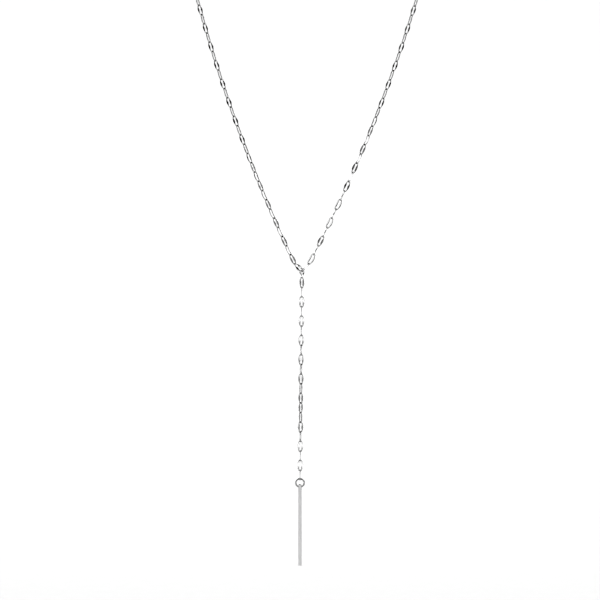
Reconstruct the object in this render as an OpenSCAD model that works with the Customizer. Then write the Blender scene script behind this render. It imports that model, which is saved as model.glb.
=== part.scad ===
// Bar drop choker: a neck chain of small flattened links that meets in a V, a short drop
// chain hooked on at the V, a round ring and a drilled square bar. Millimetres, +Z up, the
// front faces -Y. The origin is the centre of the neck opening.

/* [Chain links] */
// Distance from one link of the drop chain to the next
link_pitch = 2.99; // [2.9:0.01:3.05]
// Outer width of a link across its two flattened sides
link_w = 1.55; // [1.5:0.01:1.6]
// Width of one flattened side, in the plane of the link
leaf_w = 0.53; // [0.45:0.01:0.54]
// Thickness of one flattened side
leaf_t = 0.22; // [0.16:0.01:0.26]
// Diameter of the round wire at the ends of a link
wire_d = 0.32; // [0.3:0.01:0.34]
// Play between two linked wires
link_play = 0.14; // [0.12:0.01:0.16]

/* [Neck loop] */
// Links in each half of the neck chain
links_each_side = 66; // [64:2:68]
// Height above the V at which the front strands pass into the curve round the neck
strand_h = 76; // [72:1:80]
// Setback of the nape behind the V
nape_back = 109; // [106:1:112]
// Height of the nape above the V
nape_up = 120; // [117:1:123]

/* [Drop chain] */
// Links in the drop chain under its hook link
drop_links = 21; // [15:2:25]

/* [Ring and bar] */
// Outer diameter of the round ring
ring_od = 3; // [2.9:0.05:3.2]
// Wire of the round ring
ring_wire = 0.48; // [0.44:0.01:0.5]
// Width of the bar, seen from the front
bar_w = 0.96; // [0.92:0.01:1]
// Depth of the bar, front to back
bar_d = 1.04; // [1:0.01:1.2]
// Length of the bar
bar_len = 25.4; // [15:0.1:40]
// Bevel along the bar's long edges
bar_bevel = 0.08; // [0.04:0.01:0.12]
// Diameter of the hole through the bar's top
bar_hole_d = 0.72; // [0.7:0.01:0.74]

/* [Clasp] */
// Outer diameter of the clasp's ring
clasp_od = 5.4; // [5:0.1:6]
// Thickness of the clasp's ring
clasp_wire = 0.9; // [0.8:0.05:1]
// Outer diameter of the end ring that the clasp holds
end_ring_od = 3.2; // [3.1:0.05:3.4]
// Outer diameter of the clasp's eye
eye_od = 2.2; // [2.1:0.05:2.4]
// Wire of the eye and of the end ring
eye_wire = 0.5; // [0.45:0.01:0.5]

/* [Hidden] */
$fn = 64;

// An end of a link: the centreline radius of its round wire, and the centreline's distance
// from the middle along the flattened side next to it
END_R = 0; END_X = 1;
plain_end = [0.48, (link_w - leaf_w) / 2];
ring_end = [0.58, 0.63];            // wide enough for a ring's thicker wire
shared_end = [0.99, 0.86];          // holds two links side by side, at the V
first_end = [0.48, 0.48];           // the left half's first link, narrow where it is held
hook_top = [0.64, 0.46];            // the drop-shaped hook link, wide above and narrow below
hook_bottom = [0.46, 0.40];

link_gap = wire_d + link_play;      // between the wire centres of two linked ends
wire_sides = 5;

// The neck opening's centre, seen from the V where the strands meet
neck_centre = [0, 66, 94];

// Front strands: at height z above the V a strand stands out sideways by
// start + rate z - bend z^2, and lies back by lean_rate z + lean_bend z^2
SIDE = 0; START = 1; RATE = 2; BEND = 3; FIRST = 4; PULL = 5;
lean_rate = 0.2607;
lean_bend = 0.00264;
strand_foot = 2.2;                  // below this height the last links bend in to the V

// The right half's last link holds the other half's and the hook link, side by side in its
// end, whose wire centre is the V's own point. FIRST is how far up the next joint lies, and
// PULL how far a strand pulls on in its own direction as it passes into the curve.
side_by_side = 0.275;
left_half = [-1, 1.115, 0.4952, 0.001235, 3, 61];
right_half = [1, 0.97, 0.5478, 0.00137, 3.08, 58.5];

// The curve round the neck leaves the strand and comes to the nape along two straight pulls
nape_pull = 36;
route_steps = 60;

// Extra roll of the links along a chain, added to the quarter turn from each to the next
// columns: link number, extra roll in degrees
left_roll = [[1, -60], [2, -46], [4, -55], [7, -54], [12, -45], [16, -32], [28, -30],
             [links_each_side - 1, -90]];
right_roll = [[0, 87], [1, 87], [2, 90], [8, 88], [12, 64], [16, 45], [19, 32], [28, 30],
              [links_each_side - 1, 0]];
drop_roll = [[1, -90], [5, -86], [8, -75], [11, -65], [14, -45], [17, -15], [19, -2],
             [drop_links, 0]];

// The hook link at the top of the drop chain, and how far the chain leans over its length
hook_len = 2.7;
hook_turn = 90;
drop_lean = 0.57;

ring_r = (ring_od - ring_wire) / 2;
end_ring_r = (end_ring_od - eye_wire) / 2;
clasp_r = (clasp_od - clasp_wire) / 2;
eye_r = (eye_od - eye_wire) / 2;

// Places along the straight stretch at the nape, from the left chain's last joint
eye_gap = (wire_d + eye_wire) / 2 + link_play;
end_ring_at = link_gap / 2 - eye_gap + end_ring_r;
clasp_at = end_ring_at + end_ring_r - (eye_wire + clasp_wire) / 2 - link_play + clasp_r;
eye_at = clasp_at + clasp_od / 2 + eye_r - eye_wire * 0.6;
nape_span = eye_at + eye_r - eye_gap + link_gap / 2;

function unit(v) = v / norm(v);

// A strand's point and direction at height z
function strand_at(half, z) =
    [half[SIDE] * (half[START] + half[RATE] * z - half[BEND] * z * z),
     lean_rate * z + lean_bend * z * z, z];
function strand_way(half, z) =
    unit([half[SIDE] * (half[RATE] - 2 * half[BEND] * z), lean_rate + 2 * lean_bend * z, 1]);

// The pull points of the curve round the neck, and the curve through them
function neck_pulls(half) =
    let (top = strand_at(half, strand_h), nape = [0, nape_back, nape_up])
    [top, top + half[PULL] * strand_way(half, strand_h), nape + [half[SIDE] * nape_pull, 0, 0], nape];
function curve_at(p, t) =
    pow(1 - t, 3) * p[0] + 3 * pow(1 - t, 2) * t * p[1] + 3 * (1 - t) * t * t * p[2] + pow(t, 3) * p[3];

// One half of the loop from the V to the nape, and the length run at each of its points
function half_route(half) =
    [[0, 0, 0],
     for (i = [0:route_steps]) strand_at(half, strand_foot + (strand_h - strand_foot) * i / route_steps),
     for (i = [1:route_steps]) curve_at(neck_pulls(half), i / route_steps)];
function lengths(p) =
    [for (i = 0, run = 0; i < len(p); i = i + 1, run = run + (i < len(p) ? norm(p[i] - p[i - 1]) : 0)) run];

// The joints between the links of one half, spread evenly from the V to the clasp
function half_joints(half) =
    let (p = half_route(half), run = lengths(p), count = links_each_side,
         pitch = (run[len(p) - 1] - half[FIRST] - nape_span / 2) / (count - 1),
         axes = [for (axis = [0:2]) [for (i = [0:len(p) - 1]) [run[i], p[i][axis]]]])
    [for (k = [0:count])
        let (d = k == 0 ? 0 : half[FIRST] + (k - 1) * pitch)
        [for (axis = [0:2]) lookup(d, axes[axis])]];

// A link's end: its wire centre, its roll about the link's length, and its form
POINT = 0; ROLL = 1; FORM = 2;

// The ten sections round a link of half length h: distance along the link, distance
// sideways, how far the wire's outer side turns from the link's length, width and thickness
ALONG = 0; SIDEWAYS = 1; TURN = 2; WIDTH = 3; THICK = 4;
bend_turns = [30, 80];              // degrees round an end where its wire has a section
function bend_section(form, h, turn) =
    [h - form[END_R] * (cos(bend_turns[0]) - cos(turn)), form[END_R] * sin(turn), turn, wire_d, wire_d];
function flip(s) = [-s[ALONG], s[SIDEWAYS], 180 - s[TURN], s[WIDTH], s[THICK]];
function across(s) = [s[ALONG], -s[SIDEWAYS], -s[TURN], s[WIDTH], s[THICK]];
function link_sections(top, bottom, h) =
    let (up = [for (turn = bend_turns) bend_section(top, h, turn)],
         down = [for (turn = bend_turns) flip(bend_section(bottom, h, turn))],
         half = [up[0], up[1], [0, (top[END_X] + bottom[END_X]) / 2, 90, leaf_w, leaf_t], down[1], down[0]])
    concat(half, [for (i = [4:-1:0]) across(half[i])]);

// A link's mesh points, from its bottom and top ends. Roll 0 faces the front.
function link_points(bottom, top) =
    let (axis = unit(top[POINT] - bottom[POINT]),
         h = norm(top[POINT] - bottom[POINT]) / 2,
         middle = (top[POINT] + bottom[POINT]) / 2,
         front = unit([0, -1, 0] + axis[1] * axis),
         right = cross(axis, front))
    [for (s = link_sections(top[FORM], bottom[FORM], h))
        let (share = (s[ALONG] + h) / (2 * h),
             roll = bottom[ROLL] + (top[ROLL] - bottom[ROLL]) * turned(share),
             side = cos(roll) * right + sin(roll) * front,
             face = cos(roll) * front - sin(roll) * right,
             outward = cos(s[TURN]) * axis + sin(s[TURN]) * side,
             centre = middle + s[ALONG] * axis + s[SIDEWAYS] * side)
        for (i = [0:wire_sides - 1])
            let (turn = 360 * i / wire_sides, reach = (cos(turn) - s_shift(s)) * s_reach(s))
            centre + reach * outward + s_rise(s) * sin(turn) * face];
// A link whose ends are rolled apart turns along its sides, not round its ends
function turned(share) = min(1, max(0, (share - 0.2) / 0.6));
// A round section is inscribed in its wire; a flattened one fills its width and thickness
function s_round(s) = s[WIDTH] == s[THICK];
function s_reach(s) = s_round(s) ? s[WIDTH] / 2 : s[WIDTH] / (1 + cos(180 / wire_sides));
function s_shift(s) = s_round(s) ? 0 : (1 - cos(180 / wire_sides)) / 2;
function s_rise(s) = s[THICK] / (s_round(s) ? 2 : 2 * sin(360 / wire_sides));

// Loose links as one body: each link's mesh closes on itself
module links(meshes) {
    sections = 10;
    size = sections * wire_sides;
    polyhedron(
        points = [for (mesh = meshes) each mesh],
        faces = [for (m = [0:len(meshes) - 1], s = [0:sections - 1], i = [0:wire_sides - 1])
            let (a = m * size + s * wire_sides, b = m * size + (s + 1) % sections * wire_sides,
                 j = (i + 1) % wire_sides)
            each [[a + i, b + i, b + j], [a + i, b + j, a + j]]],
        convexity = 10);
}

// A quarter turn from each link to the next, and the roll table on top
function roll_of(table, k) = 90 * (k % 2) + lookup(k, table);
function chain_link(low, high, table, k, low_form = plain_end, high_form = plain_end) =
    let (over = unit(high - low) * link_gap / 2, roll = roll_of(table, k))
    link_points([low - over, roll, low_form], [high + over, roll, high_form]);

module half_chain(joints, table, first_link) {
    last = links_each_side - 1;
    translate(-neck_centre)
        links([first_link,
               for (k = [1:last - 1]) chain_link(joints[k], joints[k + 1], table, k),
               chain_link(joints[last], joints[last + 1], table, last, plain_end, ring_end)]);
}

left_joints = half_joints(left_half);
right_joints = half_joints(right_half);

// The left half's first link lies round the shared end, and turns to meet its neighbour
module neck_chain_left() {
    way = unit(left_joints[1]);
    beside = [0, side_by_side, 0];
    color("silver") half_chain(left_joints, left_roll, link_points(
        [beside - first_end[END_R] * way, 0, first_end],
        [left_joints[1] + way * link_gap / 2, roll_of(left_roll, 1) - 90, plain_end]));
}

module neck_chain_right() {
    way = unit(right_joints[1]);
    color("silver") half_chain(right_joints, right_roll, link_points(
        [[0, 0, 0], roll_of(right_roll, 0), shared_end],
        [right_joints[1] + way * link_gap / 2, roll_of(right_roll, 0), plain_end]));
}

// The drop chain hangs down beside the V's point
drop_top = [0, -side_by_side, link_gap];
function drop_joint(k) =
    drop_top + [-drop_lean * k / drop_links, 0, link_gap / 2 - hook_len - k * link_pitch];

module drop_chain() {
    color("silver") translate(-neck_centre)
        links([link_points([drop_joint(0) - [0, 0, link_gap / 2], hook_turn, hook_bottom],
                           [drop_top, 0, hook_top]),
               for (k = [1:drop_links - 1]) chain_link(drop_joint(k), drop_joint(k - 1), drop_roll, k),
               chain_link(drop_joint(drop_links), drop_joint(drop_links - 1), drop_roll,
                          drop_links, ring_end, plain_end)]);
}

// The last link's lowest wire carries the ring, and the ring's lowest wire the bar
swing_point = drop_joint(drop_links) - [0, 0, link_gap / 2] - neck_centre;
ring_centre = swing_point + [0, 0, (wire_d + ring_wire) / 2 + link_play - ring_r];
hole_rise = (ring_r - sqrt(ring_r * ring_r - bar_w * bar_w / 4)) / 2;
bar_point = ring_centre + [0, 0, hole_rise - ring_r];
bar_head = 0.93;                    // from the hole's centre to the bar's rounded top

module round_ring(r, wire) {
    rotate_extrude() translate([r, 0]) circle(d = wire, $fn = 32);
}

module jump_ring() {
    color("silver") translate(ring_centre) rotate([90, 0, 0]) round_ring(ring_r, ring_wire);
}

// A square bar with bevelled long edges
module bar_outline() {
    x = bar_w / 2;
    y = bar_d / 2;
    b = bar_bevel;
    polygon([[x - b, -y], [x, b - y], [x, y - b], [x - b, y],
             [b - x, y], [-x, y - b], [-x, b - y], [b - x, -y]]);
}

module bar() {
    color("gainsboro") translate(bar_point) difference() {
        union() {
            translate([0, 0, bar_head - bar_len]) linear_extrude(bar_len - bar_head) bar_outline();
            intersection() {
                translate([0, 0, -bar_head / 2]) linear_extrude(2 * bar_head) bar_outline();
                sphere(r = bar_head);
            }
        }
        rotate([0, 90, 0]) cylinder(d = bar_hole_d, h = 2 * bar_w, center = true);
    }
}

// The clasp and its end ring lie along the straight stretch between the chain's last links
left_end = left_joints[links_each_side] - neck_centre;
right_end = right_joints[links_each_side] - neck_centre;
function nape_place(distance) =
    (left_end + right_end) / 2 + [distance - nape_span / 2, 0, 0];

module clasp() {
    color("silver") union() {
        translate(nape_place(clasp_at)) rotate([90, 0, 0]) round_ring(clasp_r, clasp_wire);
        translate(nape_place(eye_at)) rotate([90, 0, 0]) round_ring(eye_r, eye_wire);
    }
}

module end_ring() {
    color("silver") translate(nape_place(end_ring_at)) round_ring(end_ring_r, eye_wire);
}

neck_chain_left();
neck_chain_right();
drop_chain();
jump_ring();
bar();
clasp();
end_ring();
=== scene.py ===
"""Drop-bar choker in silver: a fine lace chain, a round ring and a slim square bar."""

import math

import bmesh
import bpy
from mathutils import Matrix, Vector


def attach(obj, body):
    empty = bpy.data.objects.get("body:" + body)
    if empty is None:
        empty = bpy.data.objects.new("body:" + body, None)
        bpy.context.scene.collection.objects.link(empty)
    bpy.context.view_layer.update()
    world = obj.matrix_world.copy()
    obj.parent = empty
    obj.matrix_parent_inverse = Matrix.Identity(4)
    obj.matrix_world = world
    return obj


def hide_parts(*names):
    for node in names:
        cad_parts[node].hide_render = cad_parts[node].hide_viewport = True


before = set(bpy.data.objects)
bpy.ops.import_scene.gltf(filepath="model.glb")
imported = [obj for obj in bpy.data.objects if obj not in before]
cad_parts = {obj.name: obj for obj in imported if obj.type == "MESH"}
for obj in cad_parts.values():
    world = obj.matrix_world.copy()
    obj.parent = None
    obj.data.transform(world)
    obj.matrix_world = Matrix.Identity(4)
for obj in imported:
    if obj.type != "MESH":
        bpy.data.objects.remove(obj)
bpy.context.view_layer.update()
MM = 0.001


# Values shared with the part's source, in millimetres

NECK_CENTRE = Vector((0, 66, 94))       # from the V where the strands meet to the neck's centre
LINK_PITCH = 2.99                       # in the drop chain
LINKS_EACH_SIDE = 66
DROP_LINKS = 21
SOLID_WIRE = 0.32
SOLID_GAP = 0.46                        # between the wire centres of two linked solids
LINK_PLAY = 0.14                        # of air between the last link and the ring
SIDE_BY_SIDE = 0.275                    # from the V to each of the chains in its wide link
STRAND_TOP = 76                         # height above the V where a strand turns to the back
STRAND_FOOT = 2.2                       # and where its last links bend in to the V
LEAN = (0.2607, 0.00264)                # of a strand towards the neck: its rate and its bend
NAPE = Vector((0, 109, 120))            # from the V
NAPE_PULL = 36                          # of the curve sideways as it leaves the nape
NAPE_SPAN = 7.57                        # of the clasp and its end ring
ROUTE_STEPS = 60                        # on a strand, and again on the curve behind it
HOOK_LENGTH = 2.7
DROP_LEAN = 0.57                        # how far to the left the drop chain's foot hangs
RING_RADIUS = 1.26
RING_WIRE = 0.48
BAR_WIDTH = 0.96
BAR_DEPTH = 1.04
BAR_LENGTH = 25.4
BAR_HEAD = 0.93                         # from the hole's centre to the bar's top
BAR_HOLE = 0.72

# The real chain's wire. Its links hang on one another, wire against wire.
WIRE = 0.31
LEAF_WIDTH = 0.70
LEAF_THICKNESS = 0.17
HANG = WIRE + 0.004                     # between the wire centres of two links that touch
END_HANG = 0.10                         # past its joint, of a link that holds a thicker wire
# How far the painted shade on the wire reaches
PAINTED_SHADE_REACH = 0.62                    # from where two links touch
RING_PAINTED_SHADE_REACH = 1.1                # from where the ring touches the link and the bar

FLATTENING = 0.75                       # a smaller power flattens a side nearer its bends
SQUARENESS = 0.72                       # of a flattened side's section, from oval 0 to square 1
ROLL_FROM, ROLL_OVER = 0.2, 0.6         # where along a link its turn starts, and for how long

# An end of a link: the radius of its bend, and its side's distance from the middle
PLAIN_END = (0.48, 0.54)
FIRST_END = (0.48, 0.48)
RING_END = (0.58, 0.63)
SHARED_END = (0.99, 0.86)
HOOK_TOP = (0.64, 0.46)
HOOK_BOTTOM = (0.46, 0.40)

# A half of the neck chain: the side, start, rate and bend of its strand, the way up to its
# second link, its pull into the curve, and its links' extra roll in degrees by link number.
# The rolls are those that set a link's two sides as far apart as the photograph shows them.
LEFT_HALF = {
    "side": -1, "start": 1.115, "rate": 0.4952, "bend": 0.001235,
    "first": 3.0, "pull": 61,
    "roll": {1: -60, 2: -57, 4: -55, 7: -52, 12: -46, 14: -41, 16: -39, 28: -38, 65: -90},
}
RIGHT_HALF = {
    "side": 1, "start": 0.97, "rate": 0.5478, "bend": 0.00137,
    "first": 3.08, "pull": 58.5,
    "roll": {0: 87, 1: 87, 2: 90, 3: 72, 4: 90, 8: 88, 12: 62, 16: 46, 18: 40, 28: 38, 65: 0},
}
DROP_ROLL = {1: -53, 2: -89, 5: -86, 8: -75, 11: -65, 14: -45, 17: -15, 19: -2, 21: 0}

# The studio: how bright its room, its ceiling and the card in front are. Its front is dark.
ROOM_LIGHT = 1.35
CEILING_LIGHT = 0.25
CARD_LIGHT = 1.0
DARK_TURN = 1                           # degrees that the dark front faces to the right
DARK_NARROWING = 0.16                   # of the dark front with height
FLOOR_HEIGHT = -0.6                     # metres

# The camera
FRAME = 600                             # pixels along a side of the picture
PIXEL = 0.2994                          # millimetres in a pixel of the photograph, at the V
V_PIXEL = (301.9, 271.0)                # where the photograph shows the V
LOOK_DOWN = 15                          # degrees
CAMERA_AWAY = 6.0                       # metres from the V
SENSOR = 36                             # millimetres


def sine(degrees):
    return math.sin(math.radians(degrees))


# The chain's path

def between(x, table):
    """The value at x of a table of points, straight from each to the next."""
    points = sorted(table.items())
    if x <= points[0][0]:
        return points[0][1]
    for (x0, y0), (x1, y1) in zip(points, points[1:]):
        if x <= x1:
            return y0 + (y1 - y0) * (x - x0) / (x1 - x0)
    return points[-1][1]


def strand_at(half, z):
    """A front strand's point at height z above the V."""
    sideways = half["start"] + half["rate"] * z - half["bend"] * z * z
    return Vector((half["side"] * sideways, LEAN[0] * z + LEAN[1] * z * z, z))


def neck_curve(half):
    """The curve round the neck, from the strand's top to the nape."""
    top = strand_at(half, STRAND_TOP)
    sideways = half["side"] * (half["rate"] - 2 * half["bend"] * STRAND_TOP)
    way = Vector((sideways, LEAN[0] + 2 * LEAN[1] * STRAND_TOP, 1)).normalized()
    pulls = [top, top + half["pull"] * way, NAPE + Vector((half["side"] * NAPE_PULL, 0, 0)), NAPE]
    for step in range(1, ROUTE_STEPS + 1):
        t = step / ROUTE_STEPS
        shares = [(1 - t) ** 3, 3 * (1 - t) ** 2 * t, 3 * (1 - t) * t * t, t ** 3]
        yield sum((share * pull for share, pull in zip(shares, pulls)), Vector())


def half_joints(half):
    """Where the links of one half meet, evenly spaced from the V to the clasp."""
    path = [Vector()]
    path += [strand_at(half, STRAND_FOOT + (STRAND_TOP - STRAND_FOOT) * i / ROUTE_STEPS)
             for i in range(ROUTE_STEPS + 1)]
    path += neck_curve(half)
    run = [0.0]
    for a, b in zip(path, path[1:]):
        run.append(run[-1] + (b - a).length)
    pitch = (run[-1] - half["first"] - NAPE_SPAN / 2) / (LINKS_EACH_SIDE - 1)
    joints = [Vector()]
    for k in range(LINKS_EACH_SIDE):
        way = half["first"] + k * pitch
        joints.append(Vector([between(way, dict(zip(run, (p[axis] for p in path))))
                              for axis in range(3)]))
    return joints


# The links

BEND_STEPS = 8
SIDE_STEPS = 14
WIRE_SIDES = 14
CRISP_ANGLE = 35                        # degrees between faces, past which an edge looks sharp


def side_outline(bottom, top, reach):
    """One side of a link, from the top's middle to the bottom's.

    Each place is the distance along and across the link, the way that the wire's outer
    side faces, and how far the wire is flattened there, from 0 to 1.
    """
    places = []
    for step in range(BEND_STEPS + 1):
        turn = math.radians(90 * step / BEND_STEPS)
        places.append((reach - top[0] * (1 - math.cos(turn)), top[0] * math.sin(turn), turn, 0.0))
    swell = (top[1] + bottom[1]) / 2 - (top[0] + bottom[0]) / 2
    for step in range(1, SIDE_STEPS):
        share = step / SIDE_STEPS
        along = (reach - top[0]) * (1 - share) - (reach - bottom[0]) * share
        across = top[0] * (1 - share) + bottom[0] * share + swell * 4 * share * (1 - share)
        places.append((along, across, math.pi / 2, math.sin(math.pi * share) ** FLATTENING))
    for step in range(BEND_STEPS, -1, -1):
        turn = math.radians(90 * step / BEND_STEPS)
        places.append((bottom[0] * (1 - math.cos(turn)) - reach, bottom[0] * math.sin(turn),
                       math.pi - turn, 0.0))
    return places


def wire_section(angle, flat):
    """A point of the wire's section, outward and across, for a wire flattened by flat."""
    out, rise = math.cos(angle), math.sin(angle)
    crown = math.copysign(abs(rise) ** (1 - SQUARENESS * flat), rise)
    return (out * (WIRE + (LEAF_WIDTH - WIRE) * flat) / 2,
            crown * (WIRE + (LEAF_THICKNESS - WIRE) * flat) / 2)


def wire_mesh():
    """An empty bmesh for wire, with room to note where it hangs on other wire, for the painted
    shade there.
    """
    bm = bmesh.new()
    bm.verts.layers.float.new("painted_shade_weight")
    return bm


def recess_at(place, touches, reach):
    """How near a place is to where the wire touches another, from 0 at reach to 1."""
    return 1 - min(1, min((place - touch).length for touch in touches) / reach)


def add_link(bm, bottom, top):
    """Adds a link to bm. Each end is its wire's centre, its roll in degrees and its form."""
    painted_shade_weight = bm.verts.layers.float["painted_shade_weight"]
    axis = (top[0] - bottom[0]).normalized()
    reach = (top[0] - bottom[0]).length / 2
    middle = (top[0] + bottom[0]) / 2
    front = (Vector((0, -1, 0)) + axis.y * axis).normalized()
    right = axis.cross(front)
    places = side_outline(bottom[2], top[2], reach)
    places += [(along, -across, -turn, flat) for along, across, turn, flat in places[-2:0:-1]]
    # Each point notes how near it is to a joint, to be darkened there with painted shade
    touches = (bottom[0] + HANG / 2 * axis, top[0] - HANG / 2 * axis)
    rings = []
    for along, across, turn, flat in places:
        share = min(1, max(0, ((along + reach) / (2 * reach) - ROLL_FROM) / ROLL_OVER))
        roll = math.radians(bottom[1] + (top[1] - bottom[1]) * share)
        side = math.cos(roll) * right + math.sin(roll) * front
        face = math.cos(roll) * front - math.sin(roll) * right
        outward = math.cos(turn) * axis + math.sin(turn) * side
        centre = middle + along * axis + across * side
        ring = []
        for i in range(WIRE_SIDES):
            out, rise = wire_section(2 * math.pi * i / WIRE_SIDES, flat)
            place = centre + out * outward + rise * face
            point = bm.verts.new((place - NECK_CENTRE) * MM)
            point[painted_shade_weight] = recess_at(place, touches, PAINTED_SHADE_REACH)
            ring.append(point)
        rings.append(ring)
    bridge(bm, rings, closed=True)


def bridge(bm, rings, closed=False):
    """Faces between each ring of points and the next."""
    for a, b in zip(rings, rings[1:] + rings[:1] if closed else rings[1:]):
        for i in range(len(a)):
            j = (i + 1) % len(a)
            bm.faces.new((a[i], b[i], b[j], a[j]))


def chain_link(bm, low, high, roll, forms=(PLAIN_END, PLAIN_END), hangs=(HANG / 2, HANG / 2)):
    """A link between two joints, which its ends pass by as far as its neighbours allow."""
    way = (high - low).normalized()
    add_link(bm, (low - hangs[0] * way, roll, forms[0]), (high + hangs[1] * way, roll, forms[1]))


def piece_from(bm, name, node, body, material):
    """Makes an object of bm that stands for a node, rides on its body and has its finish."""
    bmesh.ops.recalc_face_normals(bm, faces=bm.faces)
    mesh = bpy.data.meshes.new(name)
    bm.to_mesh(mesh)
    bm.free()
    mesh.polygons.foreach_set("use_smooth", [True] * len(mesh.polygons))
    mesh.set_sharp_from_angle(angle=math.radians(CRISP_ANGLE))
    mesh.materials.append(material)
    piece = bpy.data.objects.new(name, mesh)
    bpy.context.scene.collection.objects.link(piece)
    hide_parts(node)
    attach(piece, body)


def neck_links(half, first):
    """All the links of one half of the neck chain."""
    joints = half_joints(half)
    last = LINKS_EACH_SIDE - 1
    bm = wire_mesh()
    first(bm, joints[1])
    for k in range(1, last):
        chain_link(bm, joints[k], joints[k + 1], 90 * (k % 2) + between(k, half["roll"]))
    chain_link(bm, joints[last], joints[last + 1], 90 * (last % 2) + between(last, half["roll"]),
               (PLAIN_END, RING_END), (HANG / 2, END_HANG))
    return bm


def first_left(bm, joint):
    """The link that hangs in the right half's end, and turns to meet its neighbour."""
    way = joint.normalized()
    add_link(bm, (Vector((0, SIDE_BY_SIDE, 0)) - HANG * way, 0, FIRST_END),
             (joint + HANG / 2 * way, LEFT_HALF["roll"][1], PLAIN_END))


def first_right(bm, joint):
    """The link whose wide end holds the left half and the drop."""
    roll = RIGHT_HALF["roll"][0]
    add_link(bm, (Vector(), roll, SHARED_END),
             (joint + HANG / 2 * joint.normalized(), roll, PLAIN_END))


def drop_joint(k):
    """Where link k of the drop chain holds the next, and joint 0 is the hook link's foot."""
    return Vector((-DROP_LEAN * k / DROP_LINKS, -SIDE_BY_SIDE,
                   1.5 * SOLID_GAP - HOOK_LENGTH - k * LINK_PITCH))


def drop_links():
    """The drop-shaped hook link and the chain under it."""
    bm = wire_mesh()
    add_link(bm, (drop_joint(0) - Vector((0, 0, HANG / 2)), 90, HOOK_BOTTOM),
             (Vector((0, -SIDE_BY_SIDE, HANG)), 0, HOOK_TOP))
    for k in range(1, DROP_LINKS + 1):
        last = k == DROP_LINKS
        chain_link(bm, drop_joint(k), drop_joint(k - 1), 90 * (k % 2) + between(k, DROP_ROLL),
                   (RING_END if last else PLAIN_END, PLAIN_END),
                   (END_HANG if last else HANG / 2, HANG / 2))
    return bm


# The ring and the bar

# The last link's lowest wire carries the ring, and the ring's lowest wire the bar
SWING = drop_joint(DROP_LINKS) - Vector((0, 0, SOLID_GAP / 2)) - NECK_CENTRE
RING_CENTRE = SWING + Vector((0, 0, (SOLID_WIRE + RING_WIRE) / 2 + LINK_PLAY - RING_RADIUS))
HOLE_RISE = (RING_RADIUS - math.sqrt(RING_RADIUS ** 2 - BAR_WIDTH ** 2 / 4)) / 2
BAR_POINT = RING_CENTRE + Vector((0, 0, HOLE_RISE - RING_RADIUS))


def open_ring(seam_at=35, seam=0.03, steps=96, sides=20):
    """A ring of round wire, bent shut, with the fine seam where its ends meet."""
    bm = wire_mesh()
    painted_shade_weight = bm.verts.layers.float["painted_shade_weight"]
    # Near the link and the bar, the ring's wire is darkened with painted shade
    touches = (RING_CENTRE + Vector((0, 0, RING_RADIUS - RING_WIRE / 2)), BAR_POINT)
    half_seam = math.degrees(seam / 2 / RING_RADIUS)
    ease = 0.03                         # the wire's cut ends are slightly rounded off
    rings = []
    for stop in (0, 0.35, *range(1, steps + 1), steps + 0.65, steps + 1):
        share = stop / (steps + 1)
        turn = math.radians(seam_at + half_seam + (360 - 2 * half_seam) * share)
        at_end = stop in (0, steps + 1)
        radius = RING_WIRE / 2 - (ease if at_end else 0)
        out = Vector((math.cos(turn), 0, math.sin(turn)))
        ring = []
        for i in range(sides):
            angle = 2 * math.pi * i / sides
            reach = RING_RADIUS + radius * math.cos(angle)
            place = RING_CENTRE + reach * out + Vector((0, radius * math.sin(angle), 0))
            point = bm.verts.new(place * MM)
            point[painted_shade_weight] = recess_at(place, touches, RING_PAINTED_SHADE_REACH)
            ring.append(point)
        rings.append(ring)
    bridge(bm, rings)
    bm.faces.new(rings[0])
    bm.faces.new(rings[-1][::-1])
    return bm


def bar_outline(corner=0.08, steps=5):
    """The bar's section, with its long edges rounded."""
    points = []
    for quarter, (sx, sy) in enumerate(((1, 1), (-1, 1), (-1, -1), (1, -1))):
        for step in range(steps + 1):
            angle = math.radians(90 * (quarter + step / steps))
            points.append((sx * (BAR_WIDTH / 2 - corner) + corner * math.cos(angle),
                           sy * (BAR_DEPTH / 2 - corner) + corner * math.sin(angle)))
    return points


def drilled_bar():
    """The bar's blank: a rounded top and softly broken edges at its foot; its hole is cut later.
    """
    outline = bar_outline()
    foot = BAR_HEAD - BAR_LENGTH
    edge = 0.04
    # Each level's height, and how far its outline is drawn in
    levels = [(foot + edge * (1 - sine(90 - a)), edge * (1 - sine(a)))
              for a in (0, 22.5, 45, 67.5, 90)]
    levels += [(foot * share, 0) for share in (0.9, 0.75, 0.6, 0.45, 0.3, 0.15, 0.05)]
    levels += [(BAR_HEAD * sine(a), 0) for a in range(0, 88, 4)]
    bm = bmesh.new()
    rings = []
    for z, inset in levels:
        room = math.sqrt(max(0, BAR_HEAD ** 2 - z * z)) if z > 0 else BAR_HEAD
        ring = []
        for x, y in outline:
            shrink = min(1, room / math.hypot(x, y))
            x, y = x * shrink, y * shrink
            x -= math.copysign(min(inset, abs(x)), x)
            y -= math.copysign(min(inset, abs(y)), y)
            ring.append(bm.verts.new((BAR_POINT + Vector((x, y, z))) * MM))
        rings.append(ring)
    bridge(bm, rings)
    bm.faces.new(rings[0][::-1])
    bm.faces.new(rings[-1])
    bmesh.ops.recalc_face_normals(bm, faces=bm.faces)
    return bm


def hole_cutter(sides=48):
    """A cutter along X: the drilled hole, with a small countersink at both faces."""
    radius, flare, past = BAR_HOLE / 2, 0.06, 0.2
    face = BAR_WIDTH / 2
    bm = bmesh.new()
    rings = []
    for x, r in ((-face - past, radius + flare + past), (-face + flare, radius),
                 (face - flare, radius), (face + past, radius + flare + past)):
        ring = []
        for i in range(sides):
            angle = 2 * math.pi * i / sides
            place = BAR_POINT + Vector((x, r * math.cos(angle), r * math.sin(angle)))
            ring.append(bm.verts.new(place * MM))
        rings.append(ring)
    bridge(bm, rings)
    bm.faces.new(rings[0][::-1])
    bm.faces.new(rings[-1])
    bmesh.ops.recalc_face_normals(bm, faces=bm.faces)
    return bm


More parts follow.
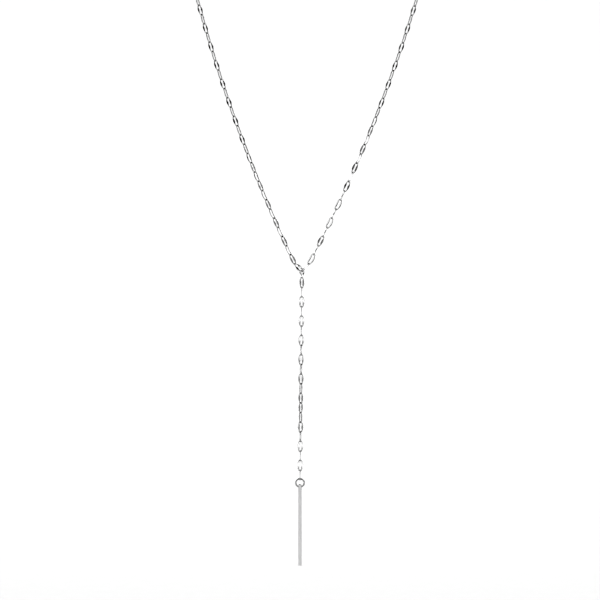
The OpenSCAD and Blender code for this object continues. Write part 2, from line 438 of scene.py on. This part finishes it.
def loose_object(bm, name):
    """An object of bm that is only there to be cut, or to cut."""
    mesh = bpy.data.meshes.new(name)
    bm.to_mesh(mesh)
    bm.free()
    piece = bpy.data.objects.new(name, mesh)
    bpy.context.scene.collection.objects.link(piece)
    return piece


def cut_bar():
    """The bar's mesh with its hole cut, as a bmesh."""
    blank = loose_object(drilled_bar(), "bar_blank")
    cutter = loose_object(hole_cutter(), "hole_cutter")
    cut = blank.modifiers.new("hole", "BOOLEAN")
    cut.object = cutter
    cut.solver = "EXACT"
    bpy.context.view_layer.update()
    done = blank.evaluated_get(bpy.context.evaluated_depsgraph_get())
    bm = bmesh.new()
    bm.from_mesh(done.to_mesh())
    done.to_mesh_clear()
    for piece in (blank, cutter):
        mesh = piece.data
        bpy.data.objects.remove(piece)
        bpy.data.meshes.remove(mesh)
    return bm


# Finishes

def linear(hex_colour):
    """An sRGB hex colour as linear red, green, blue and alpha."""
    parts = [int(hex_colour[i:i + 2], 16) / 255 for i in (1, 3, 5)]
    return (*(c / 12.92 if c <= 0.04045 else ((c + 0.055) / 1.055) ** 2.4 for c in parts), 1.0)


def add_node(tree, kind, settings=None, inputs=None, links=None):
    """Adds a node with its settings, its inputs' values and its inputs' links."""
    made = tree.nodes.new(kind)
    for name, value in (settings or {}).items():
        setattr(made, name, value)
    for name, value in (inputs or {}).items():
        made.inputs[name].default_value = value
    for name, source in (links or {}).items():
        tree.links.new(source, made.inputs[name])
    return made


MIX_A, MIX_B, MIX_RESULT = 6, 7, 2      # a colour mix node's own sockets
# A near-black colour, painted on as shade where wires touch
PAINTED_JOINT_SHADE = "#1E1E1E"


def new_material(name):
    """An empty node material and its tree."""
    material = bpy.data.materials.new(name)
    material.use_nodes = True
    material.node_tree.nodes.clear()
    return material, material.node_tree


def silver(name, tones, roughness, rub, rub_depth, stretch=(1, 1, 1)):
    """Sterling silver. Tones are its two colours, rub the size in mm of its finest marks."""
    material, tree = new_material(name)
    place = add_node(tree, "ShaderNodeTexCoord").outputs["Object"]
    drawn = add_node(tree, "ShaderNodeMapping", inputs={"Scale": stretch},
                     links={"Vector": place}).outputs["Vector"]
    marks = add_node(tree, "ShaderNodeTexNoise",
                     inputs={"Scale": 1 / (rub * MM), "Detail": 3.0, "Roughness": 0.6},
                     links={"Vector": drawn}).outputs["Fac"]
    clouds = add_node(tree, "ShaderNodeTexNoise",
                      inputs={"Scale": 1 / (2.4 * MM), "Detail": 2.0},
                      links={"Vector": place}).outputs["Fac"]
    colour = add_node(tree, "ShaderNodeMix", {"data_type": "RGBA"},
                      inputs={MIX_A: linear(tones[0]), MIX_B: linear(tones[1])},
                      links={"Factor": clouds}).outputs[MIX_RESULT]
    gloss = add_node(tree, "ShaderNodeMapRange",
                     inputs={"From Min": 0.3, "From Max": 0.7, "To Min": roughness[0],
                             "To Max": roughness[1]}, links={"Value": marks}).outputs["Result"]
    # Painted shade: a near-black colour mixed in where a link hangs on the next, standing in for
    # the shade between touching wires
    painted_shade_weight = add_node(tree, "ShaderNodeAttribute", {"attribute_name": "painted_shade_weight"}).outputs["Fac"]
    painted_shade_mask = add_node(tree, "ShaderNodeMapRange", {"interpolation_type": "SMOOTHSTEP"},
                       inputs={"From Min": 0.25, "From Max": 0.5, "To Max": 1.0},
                       links={"Value": painted_shade_weight}).outputs["Result"]
    worn = add_node(tree, "ShaderNodeMix", {"data_type": "RGBA"},
                    inputs={MIX_B: linear(PAINTED_JOINT_SHADE)},
                    links={"Factor": painted_shade_mask, MIX_A: colour}).outputs[MIX_RESULT]
    bump = add_node(tree, "ShaderNodeBump",
                    inputs={"Strength": rub_depth, "Distance": 0.01 * MM},
                    links={"Height": marks}).outputs["Normal"]
    surface = add_node(tree, "ShaderNodeBsdfPrincipled", inputs={"Metallic": 1.0},
                       links={"Base Color": worn, "Roughness": gloss, "Normal": bump})
    add_node(tree, "ShaderNodeOutputMaterial", links={"Surface": surface.outputs["BSDF"]})
    return material


# Barrel-polished sterling silver: bright round bends, and flats that mirror the room
polished_silver = silver("polished_sterling_silver", ("#EAEAEA", "#F2F2F2"), (0.06, 0.14), 0.12,
                         0.15)
# Drawn and tumbled ring wire: a little greyer than the chain, with fine marks all over it
ring_silver = silver("drawn_silver_wire", ("#BEBEBE", "#C8C8C8"), (0.08, 0.16), 0.14, 0.15)
# Satin bar: rubbed along its length with a fine pad, so it blurs what it mirrors. The real
# lines are a few hundredths of a millimetre wide, and are drawn wider so that they show.
satin_silver = silver("satin_rubbed_silver", ("#DADADA", "#E0E0E0"), (0.26, 0.38), 0.10, 0.5,
                      stretch=(1, 1, 0.06))


# The pieces

piece_from(neck_links(LEFT_HALF, first_left), "lace_links_left", "neck_chain_left",
           "necklace", polished_silver)
piece_from(neck_links(RIGHT_HALF, first_right), "lace_links_right", "neck_chain_right",
           "necklace", polished_silver)
piece_from(drop_links(), "lace_links_drop", "drop_chain", "necklace",
           polished_silver)
piece_from(open_ring(), "bent_wire_ring", "jump_ring", "ring", ring_silver)
piece_from(cut_bar(), "drilled_bar", "bar", "pendant", satin_silver)

# The clasp and its end ring keep their solids, in the ring's finish
for name in ("clasp", "end_ring"):
    for material_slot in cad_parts[name].material_slots:
        material_slot.material = ring_silver


# Floor, light and camera

def pale_floor(half_size=30.0):
    """A pale matt floor under the hanging bar. Half its size is in metres."""
    material, tree = new_material("matt_pale_paper")
    place = add_node(tree, "ShaderNodeTexCoord").outputs["Object"]
    grain = add_node(tree, "ShaderNodeTexNoise", inputs={"Scale": 1 / (4 * MM), "Detail": 3.0},
                     links={"Vector": place}).outputs["Fac"]
    colour = add_node(tree, "ShaderNodeMix", {"data_type": "RGBA"},
                      inputs={MIX_A: linear("#A8A8A8"), MIX_B: linear("#ABABAB")},
                      links={"Factor": grain}).outputs[MIX_RESULT]
    surface = add_node(tree, "ShaderNodeBsdfPrincipled",
                       inputs={"Roughness": 0.9, "Specular IOR Level": 0.1},
                       links={"Base Color": colour})
    add_node(tree, "ShaderNodeOutputMaterial", links={"Surface": surface.outputs["BSDF"]})
    mesh = bpy.data.meshes.new("floor")
    corners = ((-1, -1), (1, -1), (1, 1), (-1, 1))
    mesh.from_pydata([(x * half_size, y * half_size, FLOOR_HEIGHT) for x, y in corners], [],
                     [(0, 1, 2, 3)])
    mesh.materials.append(material)
    floor = bpy.data.objects.new("floor", mesh)
    bpy.context.scene.collection.objects.link(floor)


def studio_light():
    """A light room at the sides and behind, dark in front but for a pale card at the camera."""
    world = bpy.data.worlds.new("studio")
    world.use_nodes = True
    tree = world.node_tree
    tree.nodes.clear()
    smooth = {"interpolation_type": "SMOOTHSTEP"}
    way = add_node(tree, "ShaderNodeTexCoord").outputs["Generated"]
    axes = add_node(tree, "ShaderNodeSeparateXYZ", links={"Vector": way}).outputs
    height = axes["Z"]
    # 1 in front of the object and a little to the right, 0 at its sides and -1 behind it,
    # at every height
    squared = add_node(tree, "ShaderNodeMath", {"operation": "MULTIPLY"},
                       links={0: height, 1: height}).outputs[0]
    rest = add_node(tree, "ShaderNodeMath", {"operation": "SUBTRACT"}, inputs={0: 1.0001},
                    links={1: squared}).outputs[0]
    level = add_node(tree, "ShaderNodeMath", {"operation": "SQRT"}, links={0: rest}).outputs[0]
    forward = add_node(tree, "ShaderNodeVectorMath", {"operation": "DOT_PRODUCT"},
                       inputs={1: (sine(DARK_TURN), -sine(90 - DARK_TURN), 0)},
                       links={0: way}).outputs["Value"]
    frontness = add_node(tree, "ShaderNodeMath", {"operation": "DIVIDE"},
                         links={0: forward, 1: level}).outputs[0]
    room = add_node(tree, "ShaderNodeMapRange", smooth,
                    inputs={"From Min": sine(30), "From Max": sine(50), "To Min": ROOM_LIGHT,
                            "To Max": CEILING_LIGHT}, links={"Value": height}).outputs["Result"]
    # The dark front reaches a little past the sides, narrows with height, and ends under the
    # ceiling
    narrowing = add_node(tree, "ShaderNodeMath", {"operation": "MULTIPLY_ADD"},
                         inputs={1: -DARK_NARROWING},
                         links={0: height, 2: frontness}).outputs[0]
    dark_wide = add_node(tree, "ShaderNodeMapRange", smooth,
                         inputs={"From Min": -0.18, "From Max": -0.02},
                         links={"Value": narrowing}).outputs["Result"]
    dark_high = add_node(tree, "ShaderNodeMapRange", smooth,
                         inputs={"From Min": sine(53), "From Max": sine(63), "To Min": 1,
                                 "To Max": 0}, links={"Value": height}).outputs["Result"]
    dark = add_node(tree, "ShaderNodeMath", {"operation": "MULTIPLY"},
                    links={0: dark_wide, 1: dark_high}).outputs[0]
    shaded = add_node(tree, "ShaderNodeMix", {"data_type": "FLOAT"}, inputs={3: 0},
                      links={0: dark, 2: room}).outputs[0]
    # The card stands upright behind the camera, 16 to 25 degrees to each side of it
    card_wide = add_node(tree, "ShaderNodeMapRange", smooth,
                         inputs={"From Min": sine(90 - 25), "From Max": sine(90 - 16),
                                 "To Min": 0, "To Max": CARD_LIGHT},
                         links={"Value": frontness}).outputs["Result"]
    card_high = add_node(tree, "ShaderNodeMapRange", smooth,
                         inputs={"From Min": sine(48), "From Max": sine(60), "To Min": 1,
                                 "To Max": 0}, links={"Value": height}).outputs["Result"]
    shade = add_node(tree, "ShaderNodeMath", {"operation": "MULTIPLY_ADD"},
                     links={0: card_wide, 1: card_high, 2: shaded}).outputs[0]
    light = add_node(tree, "ShaderNodeBackground", inputs={"Color": (1, 1, 1, 1)},
                     links={"Strength": shade})
    add_node(tree, "ShaderNodeOutputWorld", links={"Surface": light.outputs["Background"]})
    bpy.context.scene.world = world
    bpy.context.scene.view_settings.view_transform = "Standard"


def soft_box(name, place, aim, size, power):
    """A flat soft light, its width and depth in metres and its power in watts."""
    lamp = bpy.data.lights.new(name, "AREA")
    lamp.shape = "RECTANGLE"
    lamp.size, lamp.size_y = size
    lamp.energy = power
    box = bpy.data.objects.new(name, lamp)
    box.location = place
    box.rotation_euler = (Vector(aim) - Vector(place)).to_track_quat("-Z", "Y").to_euler()
    bpy.context.scene.collection.objects.link(box)


def long_lens():
    """The camera: a long lens, a little above the object and square on to its front."""
    camera = bpy.data.cameras.new("camera")
    camera.sensor_width = SENSOR
    camera.lens = CAMERA_AWAY / MM * SENSOR / (FRAME * PIXEL)
    camera.clip_end = 100
    eye = bpy.data.objects.new("camera", camera)
    down = math.radians(LOOK_DOWN)
    back = Vector((0, -math.cos(down), math.sin(down)))
    up = Vector((0, math.sin(down), math.cos(down)))
    right = Vector((1, 0, 0))
    aim = PIXEL * MM * ((FRAME / 2 - V_PIXEL[0]) * right - (FRAME / 2 - V_PIXEL[1]) * up)
    eye.location = aim - NECK_CENTRE * MM + CAMERA_AWAY * back
    eye.rotation_euler = (math.radians(90) - down, 0, 0)
    bpy.context.scene.collection.objects.link(eye)
    bpy.context.scene.camera = eye


pale_floor()
studio_light()
# Both lights face the floor: one where the camera sees it, and one where the bar mirrors it
soft_box("backdrop_light", (0, 1.87, 0.15), (0, 1.87, FLOOR_HEIGHT), (3.0, 1.8), 53)
soft_box("floor_light", (0, -1.45, -0.25), (0, -1.45, FLOOR_HEIGHT), (1.8, 1.2), 23)
long_lens()
